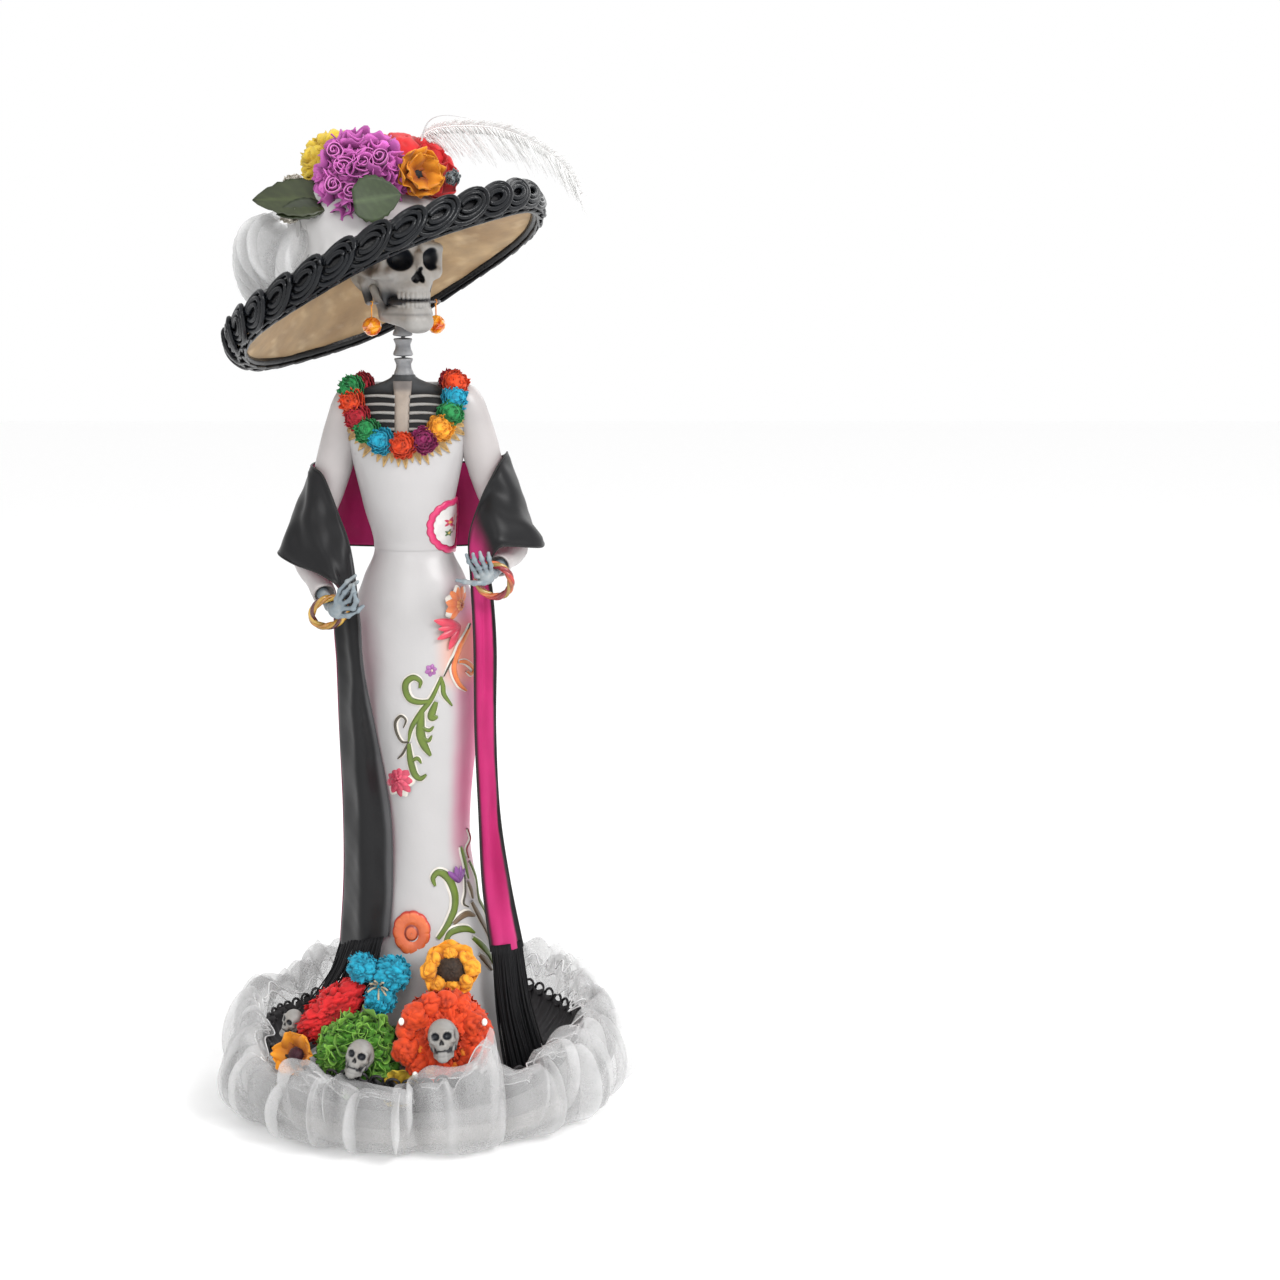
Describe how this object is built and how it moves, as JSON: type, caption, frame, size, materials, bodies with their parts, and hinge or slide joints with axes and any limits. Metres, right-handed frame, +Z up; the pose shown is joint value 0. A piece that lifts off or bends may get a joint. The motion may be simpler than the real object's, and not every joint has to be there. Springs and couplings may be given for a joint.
{
  "type": "catrina figure",
  "caption": "Tall skeleton lady in a long white papier-mache dress with a wide flowered hat, a lined shawl and a round base ringed with paper flowers and tulle.",
  "frame": {"origin": "middle of the underside of the round base", "axes": "+Z up the figure, -Y the way its body faces, +X to its left side"},
  "size_m": [0.314, 0.314, 0.7589],
  "materials": {
    "board": "raw fibreboard",
    "steel": "plain",
    "dowel": "raw wood",
    "wire": "plain wire",
    "black_lace": "stiff lace",
    "white_tulle": "sheer net",
    "white_dress": "painted papier-mache, satin",
    "chest_black": "painted papier-mache, satin",
    "bone": "painted papier-mache with dark wash",
    "grey_bone": "painted papier-mache with dark wash",
    "amber_bead": "faceted",
    "gold_paint": "painted, gloss",
    "red_paint": "painted, gloss",
    "magenta_paint": "painted, satin",
    "white_paint": "painted, satin",
    "green_paper": "crepe paper",
    "orange_paper": "crepe paper",
    "red_paper": "crepe paper",
    "blue_paper": "crepe paper",
    "magenta_paper": "crepe paper",
    "yellow_paper": "crepe paper",
    "purple_paper": "crepe paper",
    "leaf_paper": "waxed paper",
    "salmon_paint": "painted, satin",
    "gold_lace": "metallic lace",
    "black_satin": "painted cloth, magenta lining",
    "black_thread": "silky thread",
    "tan_mache": "raw papier-mache, varnished",
    "black_braid": "painted, gloss",
    "feather": "soft feather"
  },
  "bodies": {
    "figure": {"arm_wires": "wire", "base_board": "board", "base_screw": "steel", "bodice": "white_dress", "chest": "chest_black", "core_post": "dowel", "ear_pins": "wire", "flower_blue": "blue_paper", "flower_green": "green_paper", "flower_orange": "orange_paper", "flower_red": "red_paper", "flower_rosette": "salmon_paint", "flower_yellow": "yellow_paper", "flowers_small": "yellow_paper", "fringe": "black_thread", "garland_roses_blue": "blue_paper", "garland_roses_green": "green_paper", "garland_roses_magenta": "magenta_paper", "garland_roses_orange": "orange_paper", "garland_roses_red": "red_paper", "garland_roses_yellow": "yellow_paper", "hand_left": "grey_bone", "hand_right": "grey_bone", "hat_peg": "dowel", "hem_lace": "black_lace", "jaw": "bone", "medallion_disc": "white_paint", "medallion_rim": "magenta_paint", "mini_skull_green": "bone", "mini_skull_orange": "bone", "mini_skull_side": "grey_bone", "neck_wire": "wire", "neckline_lace": "gold_lace", "ribs": "bone", "shawl": "black_satin", "skirt": "white_dress", "skull": "bone", "sleeve_left": "white_dress", "sleeve_right": "white_dress", "sternum": "bone", "tulle_ruffle": "white_tulle", "vertebra_1": "bone", "vertebra_2": "bone", "vertebra_3": "bone"},
    "hat": {"hat_buds": "white_paint", "hat_cover": "white_dress", "hat_feather": "feather", "hat_flower_orange": "orange_paper", "hat_flower_purple": "purple_paper", "hat_flower_red": "red_paper", "hat_flower_yellow": "yellow_paper", "hat_leaves": "leaf_paper", "hat_shell": "tan_mache", "hat_socket": "dowel", "hat_trim": "black_braid", "hat_tulle": "white_tulle"},
    "earring_right": {"earring_right": "amber_bead"},
    "earring_left": {"earring_left": "amber_bead"},
    "bangle_right": {"bangle_right": "gold_paint"},
    "bangle_left": {"bangle_left": "red_paint"}
  },
  "joints": [
    {"name": "hat_lift", "type": "slide", "parent": "figure", "child": "hat", "axis": [-0.4474, 0.181, 0.8758], "range_m": [0, 0.12]},
    {"name": "earring_right_swing", "type": "hinge", "parent": "figure", "child": "earring_right", "pos_m": [-0.02823, -0.01792, 0.62], "axis": [0.8192, 0.5736, 0], "range_deg": [-35, 35]},
    {"name": "earring_left_swing", "type": "hinge", "parent": "figure", "child": "earring_left", "pos_m": [0.01683, 0.01363, 0.62], "axis": [0.8192, 0.5736, 0], "range_deg": [-35, 35]},
    {"name": "bangle_right_swing", "type": "hinge", "parent": "figure", "child": "bangle_right", "pos_m": [-0.06, -0.052, 0.398], "axis": [0.3528, -0.8141, -0.4613], "range_deg": [-40, 40]},
    {"name": "bangle_left_swing", "type": "hinge", "parent": "figure", "child": "bangle_left", "pos_m": [0.062, -0.049, 0.422], "axis": [-0.2154, -0.9444, -0.2485], "range_deg": [-40, 40]}
  ]
}
